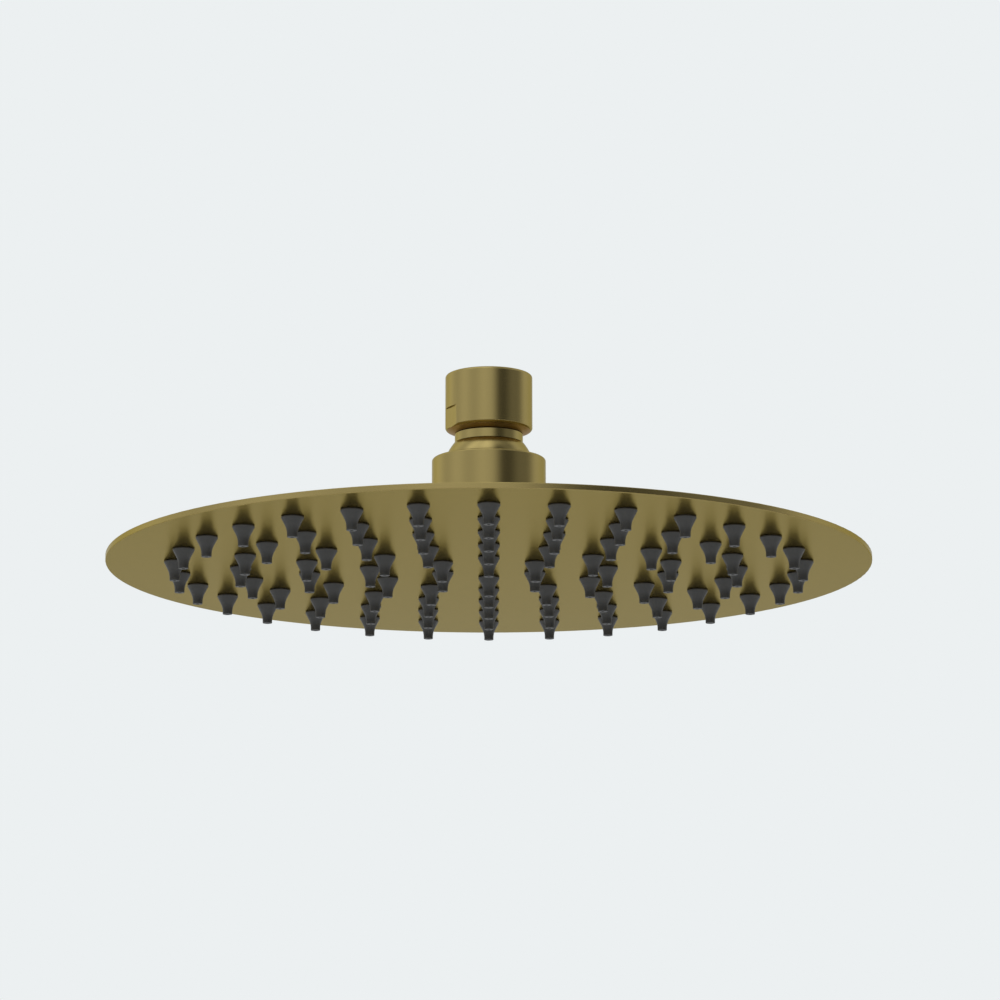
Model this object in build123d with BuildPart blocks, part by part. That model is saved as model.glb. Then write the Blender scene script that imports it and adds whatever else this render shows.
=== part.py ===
from build123d import *
from math import asin, cos, degrees, hypot, radians, sin, sqrt
import os

# Round slimline rain shower head on a ball swivel, with a union nut for a G 1/2 shower arm.
# Sizes are in millimetres. The origin is the centre of the union nut's mouth, +Z points up
# into the arm, and the head hangs below it.

# Union nut: a turned sleeve with an inner thread and two wrench flats
thread_minor_diameter = 18.63
thread_length = 8.4
mouth_chamfer = 0.6
nut_wall = 2.185
nut_floor = 2.08
nut_taper = 1.17
nut_lip_inset = 0.28
nut_top_radius = 0.8
nut_bottom_radius = 0.85
relief_depth = 0.7
flat_depth = 0.5
flat_height = 6.45
flat_direction = 25.0

# What is stacked in the nut, from the end of its thread down to its floor
washer_room = 0.1
washer_thickness = 1.8
washer_side_room = 0.1
washer_hole_diameter = 10.0
screen_thickness = 0.3
screen_pitch = 1.1
screen_opening = 0.7
screen_margin = 0.4
stem_lip = 0.7
ring_thickness = 0.75
ring_width = 2.1
ring_gap = 5.0
ring_clearance = 0.05

# Neck, collar and ball of the turned stem
neck_room = 1.815
neck_clearance = 0.1
neck_gap = 0.12
groove_depth = 0.8
collar_step = 1.48
collar_height = 2.24
waist_depth = 0.9
waist_height = 0.22
ball_top_step = 0.282
ball_shoulder = 3.02
ball_foot = 3.5
bore_flare = 1.0

# Flow regulator in the top of the stem
seat_wall = 1.1
seat_ledge = 1.1
regulator_height = 3.0
regulator_room = 0.2
regulator_clearance = 0.05
regulator_wall = 1.0
regulator_web = 1.0
regulator_core_diameter = 4.0
regulator_hole_diameter = 1.2
regulator_holes = 8
regulator_ring_section = 1.1
ring_stretch_gap = 0.02

# Swivel socket: a cap screwed on a base, with a floating seat ring under the ball
tilt_range = 15.0
tilt_margin = 3.0
slip_gap = 0.08
seat_thickness = 0.8
spigot_wall = 0.65
spigot_clearance = 0.04
spigot_drop = 2.5
spigot_length = 7.25
cap_wall = 1.35
cap_edge_radius = 0.6
seam_chamfer = 0.3
lip_thickness = 1.06
rib_thickness = 0.8
seal_height = 1.5
seal_section = 1.5
seal_gap = 0.06
seal_clearance = 0.1
cap_seal_section = 1.2
cap_seal_height = 1.5
base_height = 12.15
water_bore_step = 1.0
register_wall = 3.0
register_clearance = 0.05

# Spray disc: a flat face sheet and a pressed back sheet, closed at the rim
disc_diameter = 200.0
sheet_thickness = 0.75
chamber_height = 2.0
flange_width = 3.0
slope_width = 10.0
bend_radius = 6.0
rim_edge_radius = 0.2
spacer_diameter = 5.0
inner_spacers = 6
outer_spacers = 12

# Rubber nozzles, in rings that each hold six more than the last
ring_count = 5
first_ring_radius = 14.0
nozzle_margin = 18.0
nozzles_per_step = 6
nozzle_start = -90.0
nozzle_base_diameter = 5.8
nozzle_base_height = 0.35
nozzle_tip_diameter = 2.6
nozzle_cone_length = 3.25
nozzle_cone_hollow = 0.12
nozzle_tip_length = 1.6
nozzle_outlet_diameter = 1.0
nozzle_inlet_diameter = 2.4
nozzle_stem_diameter = 4.0
nozzle_flange_diameter = 5.6
nozzle_flange_thickness = 0.8
nozzle_hole_clearance = 0.05

# Heights down the inlet, from the nut's mouth at zero
thread_end = -mouth_chamfer - thread_length
washer_top = thread_end - washer_room
screen_top = washer_top - washer_thickness
stem_top = screen_top - screen_thickness
ring_top = stem_top - stem_lip
ring_bottom = ring_top - ring_thickness
nut_floor_top = ring_bottom - ring_clearance
nut_edge = nut_floor_top - nut_floor
nut_bottom = nut_edge - nut_taper
collar_top = nut_bottom - neck_gap
collar_bottom = collar_top - collar_height
ball_top = collar_bottom - waist_height

# Radii of the inlet and the stem
thread_radius = thread_minor_diameter / 2
nut_radius = thread_radius + nut_wall
relief_radius = thread_radius + relief_depth
neck_radius = thread_radius - neck_room
groove_radius = neck_radius - groove_depth
seat_radius = groove_radius - seat_wall
stem_bore_radius = seat_radius - seat_ledge
collar_radius = neck_radius + collar_step
nut_lip_radius = collar_radius - nut_lip_inset
waist_radius = collar_radius - waist_depth
ball_top_radius = collar_radius + ball_top_step
ball_radius = collar_radius + ball_shoulder
ball_bottom_radius = stem_bore_radius + ball_foot

# The ball's centre, which every swivel face is set from
ball_centre = ball_top - sqrt(ball_radius**2 - ball_top_radius**2)
ball_bottom = ball_centre - sqrt(ball_radius**2 - ball_bottom_radius**2)

# Radii and heights of the socket
seat_inner = ball_radius + slip_gap
seat_outer = seat_inner + seat_thickness
cup_radius = seat_outer + slip_gap
spigot_radius = cup_radius + spigot_wall
cap_bore = spigot_radius + spigot_clearance
housing_radius = cap_bore + cap_wall
water_bore = stem_bore_radius + water_bore_step
register_radius = water_bore + register_wall
seal_reach = ball_radius + seal_gap + seal_section / 2
seal_radius = sqrt(seal_reach**2 - seal_height**2)
seal_centre = ball_centre + seal_height
seal_groove_radius = seal_radius + seal_section / 2 + seal_gap
seal_groove_top = seal_centre + seal_section / 2 + seal_clearance
seal_groove_bottom = seal_centre - seal_section / 2 - seal_clearance
cap_top = seal_groove_top + lip_thickness
rib_bottom = seal_groove_bottom - rib_thickness
spigot_top = ball_centre - spigot_drop
cap_bottom = spigot_top - spigot_length
cap_seal_centre = cap_bottom + cap_seal_height
cap_seal_radius = cap_bore - seal_gap - cap_seal_section / 2
cap_groove_radius = cap_seal_radius - cap_seal_section / 2 - seal_gap
cap_groove_half = cap_seal_section / 2 + seal_clearance

# Heights and radii of the spray disc
disc_radius = disc_diameter / 2
plateau_top = cap_bottom - base_height
plateau_bottom = plateau_top - sheet_thickness
face_top = plateau_bottom - chamber_height
face_bottom = face_top - sheet_thickness
rim_top = face_top + sheet_thickness
slope_radius = disc_radius - flange_width
plateau_radius = slope_radius - slope_width
ring_pitch = (disc_radius - nozzle_margin - first_ring_radius) / (ring_count - 1)
nozzle_hole_radius = nozzle_stem_diameter / 2 + nozzle_hole_clearance


def ball_height(radius, distance):
    """Height above the ball's centre of a sphere's surface, at a distance from its axis."""
    return sqrt(radius**2 - distance**2)


def on_sphere(radius, polar):
    """Profile point on a sphere about the ball's centre, at an angle from straight up."""
    return (radius * sin(radians(polar)), ball_centre + radius * cos(radians(polar)))


def nozzle_ring_radius(ring):
    """Radius of a ring of nozzles, where ring 1 is the innermost."""
    return first_ring_radius + (ring - 1) * ring_pitch


def save(part, name):
    """Label a finished piece and write it to its own file."""
    part.label = name
    export_step(part, f"parts/{name}.step")


os.makedirs("parts", exist_ok=True)

# Union nut, with a relief under its thread where the washer and the retaining ring sit
with BuildPart() as inlet_nut:
    with BuildSketch(Plane.XZ) as nut_section:
        with BuildLine():
            Polyline(
                (thread_radius + mouth_chamfer, 0),
                (nut_radius, 0),
                (nut_radius, nut_edge),
                (nut_lip_radius, nut_bottom),
                (neck_radius + neck_clearance, nut_bottom),
                (neck_radius + neck_clearance, nut_floor_top),
                (relief_radius, nut_floor_top),
                (relief_radius, thread_end),
                (thread_radius, thread_end),
                (thread_radius, -mouth_chamfer),
                close=True,
            )
        make_face()
        fillet(nut_section.vertices().sort_by(Axis.X)[-2:].sort_by(Axis.Y)[-1], nut_top_radius)
        fillet(nut_section.vertices().sort_by(Axis.X)[-2:].sort_by(Axis.Y)[0], nut_bottom_radius)
    revolve(axis=Axis.Z)
    with BuildSketch(Plane.XY.offset(nut_bottom)):
        with PolarLocations(nut_radius, 2, start_angle=flat_direction):
            Rectangle(2 * flat_depth, 2 * nut_radius)
    extrude(amount=flat_height, mode=Mode.SUBTRACT)
save(inlet_nut.part, "inlet_nut")

# Snap ring in the stem's groove, which the nut's floor pulls on
with BuildPart() as retaining_ring:
    with BuildSketch(Plane.XY.offset(ring_bottom)):
        Circle(groove_radius + ring_clearance + ring_width)
        Circle(groove_radius + ring_clearance, mode=Mode.SUBTRACT)
        with Locations((groove_radius + ring_width, 0)):
            Rectangle(2 * groove_radius, ring_gap, mode=Mode.SUBTRACT)
    extrude(amount=ring_thickness)
save(retaining_ring.part, "retaining_ring")

# Flat rubber washer that the shower arm presses on
with BuildPart() as inlet_washer:
    with BuildSketch(Plane.XY.offset(screen_top)):
        Circle(thread_radius - washer_side_room)
        Circle(washer_hole_diameter / 2, mode=Mode.SUBTRACT)
    extrude(amount=washer_thickness)
save(inlet_washer.part, "inlet_washer")

# Filter screen under the washer, open over the washer's hole
screen_reach = washer_hole_diameter / 2 - screen_margin
screen_steps = range(-int(screen_reach / screen_pitch), int(screen_reach / screen_pitch) + 1)
screen_openings = [
    (column * screen_pitch, row * screen_pitch)
    for column in screen_steps
    for row in screen_steps
    if hypot(column, row) * screen_pitch + screen_opening / 2 < screen_reach
]
with BuildPart() as filter_screen:
    with BuildSketch(Plane.XY.offset(stem_top)):
        Circle(thread_radius - washer_side_room)
        with Locations(*screen_openings):
            Rectangle(screen_opening, screen_opening, mode=Mode.SUBTRACT)
    extrude(amount=screen_thickness)
save(filter_screen.part, "filter_screen")

# Flow regulator: a ringed cup with a core, pierced round its web
regulator_radius = seat_radius - regulator_clearance
regulator_bottom = stem_top - regulator_room - regulator_height
core_radius = regulator_core_diameter / 2
regulator_bore = regulator_radius - regulator_wall
with BuildPart() as flow_regulator:
    with BuildSketch(Plane.XY.offset(regulator_bottom)):
        Circle(regulator_radius)
    extrude(amount=regulator_height)
    with BuildSketch(Plane.XY.offset(regulator_bottom + regulator_web)):
        Circle(regulator_bore)
        Circle(core_radius, mode=Mode.SUBTRACT)
    extrude(amount=regulator_height - regulator_web, mode=Mode.SUBTRACT)
    with BuildSketch(Plane.XY.offset(regulator_bottom)):
        with PolarLocations((core_radius + regulator_bore) / 2, regulator_holes):
            Circle(regulator_hole_diameter / 2)
    extrude(amount=regulator_web, mode=Mode.SUBTRACT)
save(flow_regulator.part, "flow_regulator")

# Rubber ring on the regulator's core, which swells over its holes as the pressure rises
regulator_ring_radius = core_radius + ring_stretch_gap + regulator_ring_section / 2
regulator_ring_height = regulator_bottom + regulator_web + regulator_ring_section / 2
with BuildPart() as regulator_o_ring:
    with BuildSketch(Plane.XZ):
        with Locations((regulator_ring_radius, regulator_ring_height)):
            Circle(regulator_ring_section / 2)
    revolve(axis=Axis.Z)
save(regulator_o_ring.part, "regulator_o_ring")

# Stem, turned in one piece: neck, collar and ball, bored right through
with BuildPart() as ball_stem:
    with BuildSketch(Plane.XZ):
        with BuildLine():
            Polyline(
                (ball_bottom_radius, ball_bottom),
                (stem_bore_radius + bore_flare, ball_bottom),
                (stem_bore_radius, ball_bottom + bore_flare),
                (stem_bore_radius, regulator_bottom),
                (seat_radius, regulator_bottom),
                (seat_radius, stem_top),
                (neck_radius, stem_top),
                (neck_radius, ring_top),
                (groove_radius, ring_top),
                (groove_radius, ring_bottom),
                (neck_radius, ring_bottom),
                (neck_radius, collar_top),
                (collar_radius, collar_top),
                (collar_radius, collar_bottom),
                (waist_radius, collar_bottom),
                (waist_radius, ball_top),
                (ball_top_radius, ball_top),
            )
            ThreePointArc(
                (ball_top_radius, ball_top),
                (ball_radius, ball_centre),
                (ball_bottom_radius, ball_bottom),
            )
        make_face()
    revolve(axis=Axis.Z)
save(ball_stem.part, "ball_stem")

# Seat ring: a slippery spherical band that floats between the ball and the base
cup_edge_angle = 180 - degrees(asin(water_bore / cup_radius))
seat_first = 90 + tilt_range + tilt_margin
seat_last = cup_edge_angle - tilt_range - tilt_margin
seat_middle = (seat_first + seat_last) / 2
with BuildPart() as seat_ring:
    with BuildSketch(Plane.XZ):
        with BuildLine():
            ThreePointArc(
                on_sphere(seat_outer, seat_first),
                on_sphere(seat_outer, seat_middle),
                on_sphere(seat_outer, seat_last),
            )
            Line(on_sphere(seat_outer, seat_last), on_sphere(seat_inner, seat_last))
            ThreePointArc(
                on_sphere(seat_inner, seat_last),
                on_sphere(seat_inner, seat_middle),
                on_sphere(seat_inner, seat_first),
            )
            Line(on_sphere(seat_inner, seat_first), on_sphere(seat_outer, seat_first))
        make_face()
    revolve(axis=Axis.Z)
save(seat_ring.part, "seat_ring")

# Ring seal round the ball, in the cap's groove
with BuildPart() as ball_o_ring:
    with BuildSketch(Plane.XZ):
        with Locations((seal_radius, seal_centre)):
            Circle(seal_section / 2)
    revolve(axis=Axis.Z)
save(ball_o_ring.part, "ball_o_ring")

# Cap: its lip closes over the ball, and its skirt screws down on the base
lip_low_radius = ball_height(seat_inner, seal_groove_top - ball_centre)
lip_high_radius = ball_height(seat_inner, cap_top - ball_centre)
lip_middle = (seal_groove_top + cap_top) / 2
with BuildPart() as retaining_cap:
    with BuildSketch(Plane.XZ) as cap_section:
        with BuildLine():
            Polyline(
                (lip_high_radius, cap_top),
                (housing_radius, cap_top),
                (housing_radius, cap_bottom + seam_chamfer),
                (housing_radius - seam_chamfer, cap_bottom),
                (cap_bore, cap_bottom),
                (cap_bore, rib_bottom),
                (seat_inner, rib_bottom),
                (seat_inner, seal_groove_bottom),
                (seal_groove_radius, seal_groove_bottom),
                (seal_groove_radius, seal_groove_top),
                (lip_low_radius, seal_groove_top),
            )
            ThreePointArc(
                (lip_low_radius, seal_groove_top),
                (ball_height(seat_inner, lip_middle - ball_centre), lip_middle),
                (lip_high_radius, cap_top),
            )
        make_face()
        fillet(cap_section.vertices().sort_by(Axis.X).group_by(Axis.Y)[-1][-1], cap_edge_radius)
    revolve(axis=Axis.Z)
save(retaining_cap.part, "retaining_cap")

# Ring seal between the cap's skirt and the base's spigot
with BuildPart() as cap_o_ring:
    with BuildSketch(Plane.XZ):
        with Locations((cap_seal_radius, cap_seal_centre)):
            Circle(cap_seal_section / 2)
    revolve(axis=Axis.Z)
save(cap_o_ring.part, "cap_o_ring")

# Base: the cup under the ball, its spigot, the water way and a register in the back sheet
cup_top_radius = ball_height(cup_radius, spigot_drop)
cup_bottom = ball_centre - ball_height(cup_radius, water_bore)
with BuildPart() as socket_base:
    with BuildSketch(Plane.XZ):
        with BuildLine():
            Polyline(
                (cup_top_radius, spigot_top),
                (spigot_radius, spigot_top),
                (spigot_radius, cap_seal_centre + cap_groove_half),
                (cap_groove_radius, cap_seal_centre + cap_groove_half),
                (cap_groove_radius, cap_seal_centre - cap_groove_half),
                (spigot_radius, cap_seal_centre - cap_groove_half),
                (spigot_radius, cap_bottom),
                (housing_radius - seam_chamfer, cap_bottom),
                (housing_radius, cap_bottom - seam_chamfer),
                (housing_radius, plateau_top),
                (register_radius, plateau_top),
                (register_radius, plateau_bottom),
                (water_bore, plateau_bottom),
                (water_bore, cup_bottom),
            )
            ThreePointArc(
                (water_bore, cup_bottom),
                on_sphere(cup_radius, seat_middle),
                (cup_top_radius, spigot_top),
            )
        make_face()
    revolve(axis=Axis.Z)
save(socket_base.part, "socket_base")

# Back sheet, pressed up inside its rim flange to leave the water chamber
with BuildPart() as back_plate:
    with BuildSketch(Plane.XZ) as back_section:
        with BuildLine():
            Polyline(
                (register_radius + register_clearance, plateau_bottom),
                (register_radius + register_clearance, plateau_top),
                (plateau_radius, plateau_top),
                (slope_radius, rim_top),
                (disc_radius, rim_top),
                (disc_radius, face_top),
                (slope_radius, face_top),
                (plateau_radius, plateau_bottom),
                close=True,
            )
        make_face()
        fillet(back_section.vertices().sort_by(Axis.X)[2:6], bend_radius)
        fillet(back_section.vertices().group_by(Axis.X)[-1].sort_by(Axis.Y)[-1], rim_edge_radius)
    revolve(axis=Axis.Z)
save(back_plate.part, "back_plate")

# Face sheet, pierced for the nozzles
with BuildPart() as face_plate:
    with BuildSketch(Plane.XY.offset(face_bottom)):
        Circle(disc_radius)
    extrude(amount=sheet_thickness)
    fillet(face_plate.edges().group_by(Axis.Z)[0], rim_edge_radius)
    with BuildSketch(Plane.XY.offset(face_bottom)):
        for ring in range(1, ring_count + 1):
            with PolarLocations(nozzle_ring_radius(ring), ring * nozzles_per_step, nozzle_start):
                Circle(nozzle_hole_radius)
    extrude(amount=sheet_thickness, mode=Mode.SUBTRACT)
save(face_plate.part, "face_plate")

# Studs that hold the two sheets apart, midway between rings of nozzles
with BuildPart() as plate_spacers:
    with BuildSketch(Plane.XY.offset(face_top)):
        with PolarLocations(nozzle_ring_radius(2.5), inner_spacers, nozzle_start):
            Circle(spacer_diameter / 2)
        with PolarLocations(nozzle_ring_radius(ring_count - 0.5), outer_spacers, nozzle_start):
            Circle(spacer_diameter / 2)
    extrude(amount=chamber_height)
save(plate_spacers.part, "plate_spacers")

# One nozzle, on the disc's axis: a flange behind the sheet, a stem through it, a short round base
# and a hollow-sided cone that ends in a straight tip, with one tapering water way
cone_start = face_bottom - nozzle_base_height
cone_end = cone_start - nozzle_cone_length
nozzle_end = cone_end - nozzle_tip_length
cone_middle_radius = (nozzle_base_diameter + nozzle_tip_diameter) / 4 - nozzle_cone_hollow
with BuildPart() as nozzle:
    with BuildSketch(Plane.XZ):
        with BuildLine():
            ThreePointArc(
                (nozzle_base_diameter / 2, cone_start),
                (cone_middle_radius, (cone_start + cone_end) / 2),
                (nozzle_tip_diameter / 2, cone_end),
            )
            Polyline(
                (nozzle_tip_diameter / 2, cone_end),
                (nozzle_tip_diameter / 2, nozzle_end),
                (nozzle_outlet_diameter / 2, nozzle_end),
                (nozzle_inlet_diameter / 2, face_top + nozzle_flange_thickness),
                (nozzle_flange_diameter / 2, face_top + nozzle_flange_thickness),
                (nozzle_flange_diameter / 2, face_top),
                (nozzle_stem_diameter / 2, face_top),
                (nozzle_stem_diameter / 2, face_bottom),
                (nozzle_base_diameter / 2, face_bottom),
                (nozzle_base_diameter / 2, cone_start),
            )
        make_face()
    revolve(axis=Axis.Z)

# The nozzles of each ring
for ring in range(1, ring_count + 1):
    with BuildPart() as nozzles:
        with PolarLocations(nozzle_ring_radius(ring), ring * nozzles_per_step, nozzle_start):
            add(nozzle.part)
    save(nozzles.part, f"nozzles_ring_{ring}")
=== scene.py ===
from math import acos, atan2, cos, pi, radians, sin, tan

import bmesh
import bpy
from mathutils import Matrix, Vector


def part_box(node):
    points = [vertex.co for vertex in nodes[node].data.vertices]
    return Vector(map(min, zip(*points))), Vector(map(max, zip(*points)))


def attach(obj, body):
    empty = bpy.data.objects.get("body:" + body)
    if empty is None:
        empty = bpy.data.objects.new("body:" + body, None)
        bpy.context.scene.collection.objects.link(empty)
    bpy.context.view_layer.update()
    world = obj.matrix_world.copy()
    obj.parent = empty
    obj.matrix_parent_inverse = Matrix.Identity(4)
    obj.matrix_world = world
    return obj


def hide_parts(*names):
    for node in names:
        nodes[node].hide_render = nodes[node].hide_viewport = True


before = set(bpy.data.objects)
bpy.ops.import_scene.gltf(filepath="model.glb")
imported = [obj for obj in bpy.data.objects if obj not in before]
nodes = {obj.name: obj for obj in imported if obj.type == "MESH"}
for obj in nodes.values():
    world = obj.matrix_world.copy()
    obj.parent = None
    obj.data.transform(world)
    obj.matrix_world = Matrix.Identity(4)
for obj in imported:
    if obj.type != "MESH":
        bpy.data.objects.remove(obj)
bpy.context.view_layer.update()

# Back sheet and socket base: a sheet pressed from thin brass and a base turned from brass bar,
# brazed together with a small bead of filler round the foot. Both are brushed in the lathe to a
# satin finish, and the top of the sheet is then blasted to a softer matt inside its edge.


class Socket:
    """A socket of a node tree that takes part in Python expressions."""

    def __init__(self, tree, socket):
        self.tree = tree
        self.socket = socket

    def node(self, kind, settings=None, output=0, **inputs):
        """Add a node: its settings first, then its sockets, given by name or as i0, i1 and so on."""
        made = self.tree.nodes.new(kind)
        for name, value in (settings or {}).items():
            setattr(made, name, value)
        for name, value in inputs.items():
            place = int(name[1:]) if name[1:].isdigit() else name.replace("_", " ")
            if isinstance(value, Socket):
                self.tree.links.new(value.socket, made.inputs[place])
            else:
                made.inputs[place].default_value = value
        return Socket(self.tree, made.outputs[output])

    def maths(self, operation, first, second=0.0):
        return self.node("ShaderNodeMath", {"operation": operation}, i0=first, i1=second)

    def __add__(self, other):
        return self.maths("ADD", self, other)

    def __radd__(self, other):
        return self.maths("ADD", other, self)

    def __sub__(self, other):
        return self.maths("SUBTRACT", self, other)

    def __rsub__(self, other):
        return self.maths("SUBTRACT", other, self)

    def __mul__(self, other):
        return self.maths("MULTIPLY", self, other)

    def __rmul__(self, other):
        return self.maths("MULTIPLY", other, self)

    def __truediv__(self, other):
        return self.maths("DIVIDE", self, other)

    def __rtruediv__(self, other):
        return self.maths("DIVIDE", other, self)

    def ramp(self, low, high, start=0.0, end=1.0):
        """Smooth step from start to end as the value goes from low to high."""
        smooth = {"interpolation_type": "SMOOTHSTEP"}
        return self.node("ShaderNodeMapRange", smooth, i0=self, i1=low, i2=high, i3=start, i4=end)

    def part(self, axis):
        """One part of a vector, where axis is 0, 1 or 2."""
        return self.node("ShaderNodeSeparateXYZ", output=axis, i0=self)

    def noise(self, scale, detail=3.0):
        """Noise at this place, with features of about one over scale."""
        return self.node("ShaderNodeTexNoise", Vector=self, Scale=scale, Detail=detail)

    def between(self, first, second):
        """Colour that goes from first to second as this value goes from 0 to 1."""
        ends = [end if isinstance(end, Socket) else (*end, 1.0) for end in (first, second)]
        colours = {"data_type": "RGBA"}
        return self.node("ShaderNodeMix", colours, output=2, i0=self, i6=ends[0], i7=ends[1])


def new_material(name, **constants):
    """A material with its fixed values set; gives it, its shader and the place on the object."""
    material = bpy.data.materials.new(name)
    material.use_nodes = True
    shader = material.node_tree.nodes["Principled BSDF"]
    for socket, value in constants.items():
        shader.inputs[socket.replace("_", " ")].default_value = value
    place = material.node_tree.nodes.new("ShaderNodeTexCoord").outputs["Object"]
    return material, shader, Socket(material.node_tree, place)


def feed(shader, **links):
    """Link sockets to a shader's inputs by name."""
    for name, value in links.items():
        value.tree.links.new(value.socket, shader.inputs[name.replace("_", " ")])


def finish_nodes(material, *names):
    """Give solids of the frame their material."""
    for name in names:
        nodes[name].data.materials.clear()
        nodes[name].data.materials.append(material)


def brushed_brass(name, stroke, roughness, edge_tint, matt_radius=0.0):
    """Satin brass brushed round the axis, in lines a stroke apart, and softer inside a matt radius."""
    material, shader, place = new_material(name, Metallic=1.0, Specular_Tint=(*edge_tint, 1.0))
    x, y, z = (place.part(axis) for axis in range(3))
    radius = place.maths("SQRT", x * x + y * y)
    around = place.node("ShaderNodeCombineXYZ", i0=x / radius, i1=y / radius, i2=z / stroke)
    drawn = {"noise_dimensions": "4D"}
    lines = place.node(
        "ShaderNodeTexNoise", drawn, Vector=around, W=radius / stroke, Scale=1.0, Detail=4.0
    )
    cloud = place.noise(55.0)
    dark_brass = (0.328, 0.253, 0.0965)
    light_brass = (0.354, 0.274, 0.108)
    tone = (lines * 0.5 + cloud * 0.5).between(dark_brass, light_brass)
    bump = place.node("ShaderNodeBump", Strength=0.1, Distance=stroke * 0.04, Height=lines)
    if matt_radius:
        matt_fade = 0.0004
        matt_roughness = roughness + 0.2
        roughness = radius.ramp(matt_radius, matt_radius + matt_fade, matt_roughness, roughness)
    feed(shader, Base_Color=tone, Roughness=roughness + lines * 0.05 + cloud * 0.02, Normal=bump)
    return material


def rounded(outline, steps=6):
    """Points of an outline of (radius, height, rounding) corners, with an arc at each rounding."""
    points = []
    for index, (radius, height, *rounding) in enumerate(outline):
        here = Vector((radius, height))
        if not rounding:
            points.append(here)
            continue
        back = (Vector(outline[index - 1][:2]) - here).normalized()
        ahead = (Vector(outline[(index + 1) % len(outline)][:2]) - here).normalized()
        half = back.angle(ahead) / 2
        centre = here + (back + ahead).normalized() * (rounding[0] / sin(half))
        start = here + back * (rounding[0] / tan(half)) - centre
        end = here + ahead * (rounding[0] / tan(half)) - centre
        sweep = atan2(start.x * end.y - start.y * end.x, start.dot(end))
        for step in range(steps + 1):
            c, s = cos(sweep * step / steps), sin(sweep * step / steps)
            points.append(centre + Vector((start.x * c - start.y * s, start.x * s + start.y * c)))
    return points


def full_turn(segments):
    """Angles of a full turn in equal steps."""
    return [2 * pi * segment / segments for segment in range(segments)]


def turn(mesh, outline, angles, centre=(0.0, 0.0)):
    """Add a closed outline turned about an upright axis; it is points, or gives them by angle."""
    rings = []
    for angle in angles:
        points = outline(angle) if callable(outline) else outline
        c, s = cos(angle), sin(angle)
        rings.append([mesh.verts.new((centre[0] + r * c, centre[1] + r * s, z)) for r, z in points])
    for index, ring in enumerate(rings):
        following = rings[(index + 1) % len(rings)]
        for low in range(len(ring)):
            high = (low + 1) % len(ring)
            mesh.faces.new((ring[low], ring[high], following[high], following[low]))


def add_piece(name, mesh, materials, body, replaced=None):
    """Make a mesh into a smooth piece that rides on a body and may stand for a solid of the frame."""
    bmesh.ops.remove_doubles(mesh, verts=mesh.verts, dist=1e-7)
    bmesh.ops.recalc_face_normals(mesh, faces=mesh.faces)
    data = bpy.data.meshes.new(name)
    mesh.to_mesh(data)
    mesh.free()
    data.polygons.foreach_set("use_smooth", [True] * len(data.polygons))
    data.set_sharp_from_angle(angle=radians(24))
    for material in materials:
        data.materials.append(material)
    piece = bpy.data.objects.new(name, data)
    bpy.context.scene.collection.objects.link(piece)
    piece.modifiers.new("even_shading", "WEIGHTED_NORMAL").keep_sharp = True
    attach(piece, body)
    if replaced:
        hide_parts(replaced)


sheet_tint = (0.604, 0.549, 0.377)
sheet_stroke = 0.00045
sheet_roughness = 0.21
bright_edge = 0.0007
matt_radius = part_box("back_plate")[1].x - bright_edge
matt_brass = brushed_brass("matt_brass", sheet_stroke, sheet_roughness, sheet_tint, matt_radius)
finish_nodes(matt_brass, "back_plate")
turned_tint = (0.64, 0.59, 0.43)
turned_stroke = 0.00025
turned_roughness = 0.19
turned_brass = brushed_brass("turned_brass", turned_stroke, turned_roughness, turned_tint)
finish_nodes(turned_brass, "socket_base")

foot_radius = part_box("socket_base")[1].x
sheet_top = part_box("back_plate")[1].z
braze_leg = 0.0007
braze_hollow = braze_leg * 0.9
braze_sink = 0.0001
braze_outline = rounded(
    [
        (foot_radius - braze_sink, sheet_top - braze_sink),
        (foot_radius + braze_leg, sheet_top - braze_sink),
        (foot_radius + braze_leg, sheet_top),
        (foot_radius, sheet_top, braze_hollow),
        (foot_radius, sheet_top + braze_leg),
        (foot_radius - braze_sink, sheet_top + braze_leg),
    ]
)
braze = bmesh.new()
turn(braze, braze_outline, full_turn(160))
add_piece("braze_bead", braze, [turned_brass], "head")

# Studs between the sheets: short slices of stainless rod, spot welded to the back sheet so that
# the thin sheets stay parallel under water pressure.
stainless, steel_shader, steel_place = new_material("stainless", Metallic=1.0)
steel_grain = steel_place.noise(2500.0)
steel_tone = steel_grain.between((0.50, 0.50, 0.49), (0.62, 0.61, 0.59))
feed(steel_shader, Base_Color=steel_tone, Roughness=0.22 + steel_grain * 0.2)
finish_nodes(stainless, "plate_spacers")

# Face sheet: a flat disc of the same brass sheet, punched for the nozzles, welded to the back
# sheet at the rim and brushed with it.
spun_brass = brushed_brass("spun_brass", sheet_stroke, sheet_roughness, sheet_tint)
finish_nodes(spun_brass, "face_plate")
face_low, face_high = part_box("face_plate")

# Nozzles: charcoal silicone, moulded one by one and pulled through the holes of the face sheet
# until the flange at the back stops them. Each has a round base and a soft cone that runs out
# into a straight tip.
silicone, silicone_shader, silicone_place = new_material("charcoal_silicone", IOR=1.36)
silicone_skin = silicone_place.noise(1800.0)
# Painted light: the silicone is painted paler towards its base, near the face sheet, standing in for
# light on the cone; the tip keeps the darker tone.
base_light_start = face_low.z - 0.0042
base_light_full = face_low.z - 0.0020
painted_base_light = silicone_place.part(2).ramp(base_light_start, base_light_full)
silicone_dark = painted_base_light.between((0.038, 0.038, 0.038), (0.052, 0.052, 0.052))
silicone_light = painted_base_light.between((0.056, 0.056, 0.055), (0.073, 0.073, 0.072))
silicone_tone = silicone_skin.between(silicone_dark, silicone_light)
silicone_rough = 0.42 + silicone_skin * 0.14
silicone_relief = {"Strength": 0.15, "Distance": 0.00004}
silicone_bump = silicone_place.node("ShaderNodeBump", **silicone_relief, Height=silicone_skin)
feed(silicone_shader, Base_Color=silicone_tone, Roughness=silicone_rough, Normal=silicone_bump)

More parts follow.
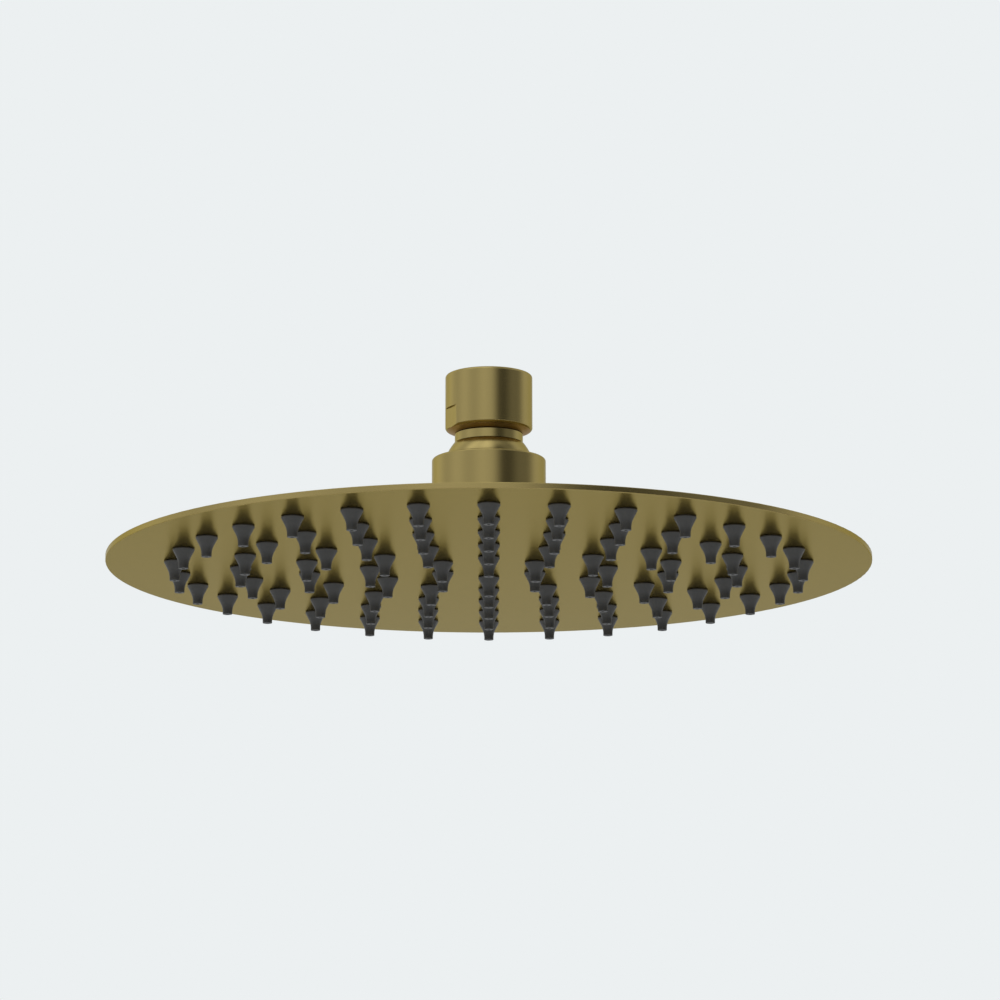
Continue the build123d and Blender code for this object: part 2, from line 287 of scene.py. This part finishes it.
nozzle_low, nozzle_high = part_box("nozzles_ring_1")
base_radius = 0.0029
bead_radius = 0.00288
bead_height = 0.00026
neck_height = 0.0033
tip_radius = 0.0013
outlet_radius = 0.0004
inlet_radius = 0.0012
shank_radius = 0.0020
flange_radius = 0.0028
bead_rounding = 0.00022
cone_rounding = 0.0050
tip_rounding = 0.00014
outlet_rounding = 0.00006
inlet_rounding = 0.00010
flange_rounding = 0.00025
flange_edge = 0.00008
nozzle_outline = rounded(
    [
        (bead_radius - bead_height, face_low.z),
        (bead_radius, face_low.z - bead_height, bead_rounding),
        (tip_radius, face_low.z - neck_height, cone_rounding),
        (tip_radius, nozzle_low.z, tip_rounding),
        (outlet_radius, nozzle_low.z, outlet_rounding),
        (inlet_radius, nozzle_high.z, inlet_rounding),
        (flange_radius, nozzle_high.z, flange_rounding),
        (flange_radius, face_high.z, flange_edge),
        (shank_radius, face_high.z),
        (shank_radius, face_low.z),
    ]
)
ring_count = 5
first_ring_nozzles = 6
for ring in range(1, ring_count + 1):
    node = f"nozzles_ring_{ring}"
    ring_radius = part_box(node)[1].y - base_radius
    rubber = bmesh.new()
    for angle in full_turn(first_ring_nozzles * ring):
        spot = (ring_radius * sin(angle), -ring_radius * cos(angle))
        turn(rubber, nozzle_outline, full_turn(40), spot)
    add_piece(f"silicone_nozzles_{ring}", rubber, [silicone], "head", node)

# Seat ring: a band of white low-friction plastic, turned to the curve of the ball. It floats in
# the cup of the base, and the ball turns in it.
seat_plastic, seat_shader, seat_place = new_material("white_seat", IOR=1.38)
seat_cloud = seat_place.noise(600.0)
seat_tone = seat_cloud.between((0.78, 0.78, 0.76), (0.86, 0.86, 0.84))
feed(seat_shader, Base_Color=seat_tone, Roughness=0.35 + seat_cloud * 0.15)
finish_nodes(seat_plastic, "seat_ring")

# Ball stem: neck, collar and ball turned in one piece from brass bar and bored through for the
# water. The lip of the cap holds the ball, and the neck carries the nut.
finish_nodes(turned_brass, "ball_stem")

# Cap and its seals: the cap is turned from brass bar. Its lip closes over the ball and its skirt
# screws on the base, with a black rubber ring in each of the two grooves.
finish_nodes(turned_brass, "retaining_cap")
black_rubber, rubber_shader, rubber_place = new_material("black_rubber", IOR=1.5)
rubber_grain = rubber_place.noise(3500.0)
rubber_tone = rubber_grain.between((0.012, 0.012, 0.012), (0.030, 0.030, 0.029))
rubber_bump = rubber_place.node("ShaderNodeBump", Strength=0.3, Distance=0.00005, Height=rubber_grain)
feed(rubber_shader, Base_Color=rubber_tone, Roughness=0.5 + rubber_grain * 0.25, Normal=rubber_bump)
finish_nodes(black_rubber, "ball_o_ring", "cap_o_ring")

# Union nut: turned from brass bar, with an inner pipe thread cut up to a relief, and two wrench
# flats milled at its lower end. It drops over the neck of the stem and turns freely there. Its
# underside tapers down to the collar and carries painted light: a paler, less saturated brass
# that lifts the shade under the nut.
nut_low, nut_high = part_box("inlet_nut")
nut_radius = nut_high.y
nut_top_rounding = 0.0008
nut_foot_rounding = 0.00085
nut_edge = nut_low.z + 0.00117
lip_radius = 0.0087
thread_radius = 0.009315
thread_depth = 0.00116
thread_pitch = 0.001814
thread_end = -0.0090
thread_fade = 0.0009
thread_rows = 200
mouth_chamfer = 0.0006
relief_radius = 0.010015
floor_top = nut_low.z + 0.00325
hole_radius = 0.0076
flat_depth = 0.0005
flat_top = nut_low.z + 0.00645
flat_direction = radians(25)
painted_lift_inset = 0.0002
flat_half = acos(1 - flat_depth / nut_radius)


def thread_wall(angle, height):
    """Radius of the threaded wall: rounded ridges on a helix that fade out above the relief."""
    groove = 0.5 - 0.5 * cos(2 * pi * height / thread_pitch - angle)
    fade = min(1.0, (height - thread_end) / thread_fade)
    ridge = thread_radius + thread_depth * groove * fade
    return max(ridge, thread_radius + mouth_chamfer + height)


def nut_outline(angle):
    """Section of the nut at an angle, with the flats milled off its outer wall."""
    from_flat = (angle - flat_direction + pi / 2) % pi - pi / 2
    flat = (nut_radius - flat_depth) / cos(from_flat)
    mouth = (thread_radius + mouth_chamfer, 0.0)
    shoulder = (nut_radius, flat_top)
    lip = (lip_radius, nut_low.z)
    upper = rounded([mouth, (nut_radius, 0.0, nut_top_rounding), shoulder])
    lower = rounded([shoulder, (nut_radius, nut_edge, nut_foot_rounding), lip])
    milled = [(min(r, flat), z) for r, z in lower]
    bore = [(hole_radius, nut_low.z), (hole_radius, floor_top), (relief_radius, floor_top)]
    bore.append((relief_radius, thread_end))
    heights = [thread_end * (1 - row / thread_rows) for row in range(thread_rows)]
    return [*upper, *milled, *bore] + [(thread_wall(angle, height), height) for height in heights]


flat_steps = 12
round_steps = 60
nut_angles = []
for side in (0.0, pi):
    first = side + flat_direction - flat_half
    second = side + flat_direction + flat_half
    nut_angles += [first + 2 * flat_half * step / flat_steps for step in range(flat_steps)]
    nut_angles += [second + (pi - 2 * flat_half) * step / round_steps for step in range(round_steps)]
union_nut = bmesh.new()
turn(union_nut, nut_outline, nut_angles)
# Faces well below the foot's edge take the second material, the painted light of the underside.
for face in union_nut.faces:
    if face.calc_center_median().z < nut_edge - painted_lift_inset:
        face.material_index = 1
# Painted light: a paler, less saturated brass than the turned brass, lifting the shade under the nut.
underside_lift_settings = {"Metallic": 1.0, "Specular_Tint": (0.55, 0.47, 0.42, 1.0)}
underside_lift_brass, underside_lift_shader, underside_lift_place = new_material("underside_lift_brass", **underside_lift_settings)
underside_lift_cloud = underside_lift_place.noise(300.0)
underside_lift_tone = underside_lift_cloud.between((0.60, 0.47, 0.27), (0.66, 0.51, 0.29))
feed(underside_lift_shader, Base_Color=underside_lift_tone, Roughness=0.32 + underside_lift_cloud * 0.1)
add_piece("union_nut", union_nut, [turned_brass, underside_lift_brass], "inlet", "inlet_nut")

# Retaining ring: a snap ring of spring steel, open at one side and sprung into the groove of the
# neck, where the nut pulls on it.
finish_nodes(stainless, "retaining_ring")

# Flow regulator: a small green plastic moulding, pushed into the top of the stem. A rubber ring on
# its core narrows the water way as the pressure rises.
green_plastic, green_shader, green_place = new_material("regulator_green", IOR=1.5)
green_cloud = green_place.noise(900.0)
green_tone = green_cloud.between((0.16, 0.36, 0.21), (0.20, 0.42, 0.25))
feed(green_shader, Base_Color=green_tone, Roughness=0.3 + green_cloud * 0.15)
finish_nodes(green_plastic, "flow_regulator")
finish_nodes(black_rubber, "regulator_o_ring")

# Filter screen: stainless wire, woven one over and one under and held in a flat pressed rim. It
# lies on the top of the stem, under the washer.
screen_low, screen_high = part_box("filter_screen")
screen_middle = (screen_low.z + screen_high.z) / 2
rim_inner = 0.00470
rim_rounding = 0.0001
wire_pitch = 0.0011
wire_radius = 0.00011
wire_rise = 0.00009
wire_hold = 0.0001
wire_sides = 8
steps_per_pitch = 8
rim_outline = rounded(
    [
        (rim_inner, screen_low.z, rim_rounding),
        (screen_high.x, screen_low.z, rim_rounding),
        (screen_high.x, screen_high.z, rim_rounding),
        (rim_inner, screen_high.z, rim_rounding),
    ],
    3,
)
screen = bmesh.new()
turn(screen, rim_outline, full_turn(96))
wire_reach = rim_inner + wire_hold
wires_each_side = int(rim_inner / wire_pitch)
for along in (0, 1):
    for wire in range(-wires_each_side, wires_each_side + 1):
        offset = wire * wire_pitch
        half_length = (wire_reach**2 - offset**2) ** 0.5
        steps = round(2 * half_length / wire_pitch * steps_per_pitch)
        loops = []
        for step in range(steps + 1):
            travel = half_length * (2 * step / steps - 1)
            middle = screen_middle + wire_rise * cos(pi * (travel / wire_pitch + wire + along))
            loop = []
            for angle in full_turn(wire_sides):
                across = offset + wire_radius * cos(angle)
                spot = (across, travel) if along else (travel, across)
                loop.append(screen.verts.new((*spot, middle + wire_radius * sin(angle))))
            loops.append(loop)
        for loop, following in zip(loops, loops[1:]):
            for low in range(wire_sides):
                high = (low + 1) % wire_sides
                screen.faces.new((loop[low], loop[high], following[high], following[low]))
        screen.faces.new(loops[0])
        screen.faces.new(loops[-1])
add_piece("wire_screen", screen, [stainless], "stem", "filter_screen")

# Inlet washer: a flat ring of black rubber, stamped from sheet, that lies on the filter screen. The
# end of the shower arm presses on it.
washer_low, washer_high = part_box("inlet_washer")
washer_hole = 0.0050
washer_rounding = 0.00025
washer_outline = rounded(
    [
        (washer_hole, washer_low.z, washer_rounding),
        (washer_high.x, washer_low.z, washer_rounding),
        (washer_high.x, washer_high.z, washer_rounding),
        (washer_hole, washer_high.z, washer_rounding),
    ]
)
washer = bmesh.new()
turn(washer, washer_outline, full_turn(96))
add_piece("rubber_washer", washer, [black_rubber], "stem", "inlet_washer")

# Studio: a pale room with soft panels to the left, a dark screen to the right of the camera with
# a slot of light across it, and a broad soft light above and in front. The camera sees the room
# as a plain pale backdrop.
backdrop = (0.839, 0.871, 0.880)
room_level = 0.84
world = bpy.data.worlds.new("studio")
bpy.context.scene.world = world
world.use_nodes = True
room = world.node_tree
ray = Socket(room, room.nodes.new("ShaderNodeTexCoord").outputs["Generated"])
rays = room.nodes.new("ShaderNodeLightPath").outputs
seen = Socket(room, rays["Is Camera Ray"])
glossy = Socket(room, rays["Is Glossy Ray"])
through = Socket(room, rays["Is Transmission Ray"])
mirrored = seen.maths("MAXIMUM", glossy, through)
side, away, height = (ray.part(axis) for axis in range(3))
bearing = ray.maths("ARCTAN2", side, 0.0 - away)
dark_mask = bearing.ramp(radians(3), radians(31)) - bearing.ramp(radians(82), radians(112))
dark_foot = bearing.ramp(radians(40), radians(66), 0.875, 0.65)
dark_head = bearing.ramp(radians(20), radians(70), 0.35, 0.62)
dark_shade = dark_foot + (dark_head - dark_foot) * height.ramp(0.78, 0.97)
slot_light = 0.8
slot_mask = height.ramp(0.40, 0.52) - height.ramp(0.62, 0.74)
dark_depth = dark_shade * (1.0 - slot_mask * slot_light)
panel_spacing = radians(56)
panel_start = radians(12)
panel_light = 0.11
left_shade = 0.03
left_mask = bearing.ramp(radians(-150), radians(-130)) - bearing.ramp(radians(-12), radians(10))
panels = ray.maths("COSINE", (bearing + panel_start) * (2 * pi / panel_spacing))
far_light = 0.2
far_left = bearing.ramp(radians(-175), radians(-150)) - bearing.ramp(radians(-130), radians(-90))
left_level = 1.0 + left_mask * (panels * panel_light - left_shade) + far_left * far_light
around_level = (1.0 - dark_mask * dark_depth) * left_level
overhead_lean = 0.143
overhead_light = 0.72
overhead = (height - side * overhead_lean).ramp(0.71, 0.88) * away.ramp(-0.28, 0.10, 1.0, 0.0)
height_level = height.ramp(-0.4, -0.05, 0.65, 1.0) * (1.0 + overhead * overhead_light)
strength = around_level * height_level * (1.0 - seen) + seen
room_grey = (room_level, room_level, room_level)
colour = seen.maths("MAXIMUM", seen, mirrored).between(room_grey, backdrop)
background = room.nodes["Background"]
room.links.new(colour.socket, background.inputs["Color"])
room.links.new(strength.socket, background.inputs["Strength"])

# Floor: a plain pale sheet well below the head, where a shower has its tray. It is there for the
# views and isn't part of the head.
floor_half = 6.0
floor_drop = 1.5
floor_mesh = bmesh.new()
bmesh.ops.create_grid(floor_mesh, x_segments=1, y_segments=1, size=floor_half)
floor_data = bpy.data.meshes.new("floor")
floor_mesh.to_mesh(floor_data)
floor_mesh.free()
pale_floor, floor_shader, floor_place = new_material("pale_floor", IOR=1.3)
floor_grain = floor_place.noise(30.0)
floor_tone = floor_grain.between((0.865, 0.885, 0.895), (0.885, 0.905, 0.915))
feed(floor_shader, Base_Color=floor_tone, Roughness=0.8 + floor_grain * 0.1)
floor_data.materials.append(pale_floor)
floor_piece = bpy.data.objects.new("floor", floor_data)
floor_piece.location = (0.0, 0.0, -floor_drop)
bpy.context.scene.collection.objects.link(floor_piece)

# Camera: a long lens about a metre in front of the head and a little below it, tilted up at its
# face. The plain view transform shows colours as they are written.
camera_distance = 1.0203
camera_drop = 0.1949
camera_tilt = 11.786
camera_roll = 0.03
camera_turn = -0.158
camera_data = bpy.data.cameras.new("camera")
camera_data.sensor_width = 36.0
camera_data.lens = 142.78
camera = bpy.data.objects.new("camera", camera_data)
camera.location = (0.0, -camera_distance, face_low.z - camera_drop)
camera.rotation_euler = (radians(90 + camera_tilt), radians(camera_roll), radians(camera_turn))
bpy.context.scene.collection.objects.link(camera)
bpy.context.scene.camera = camera
bpy.context.scene.view_settings.view_transform = "Standard"
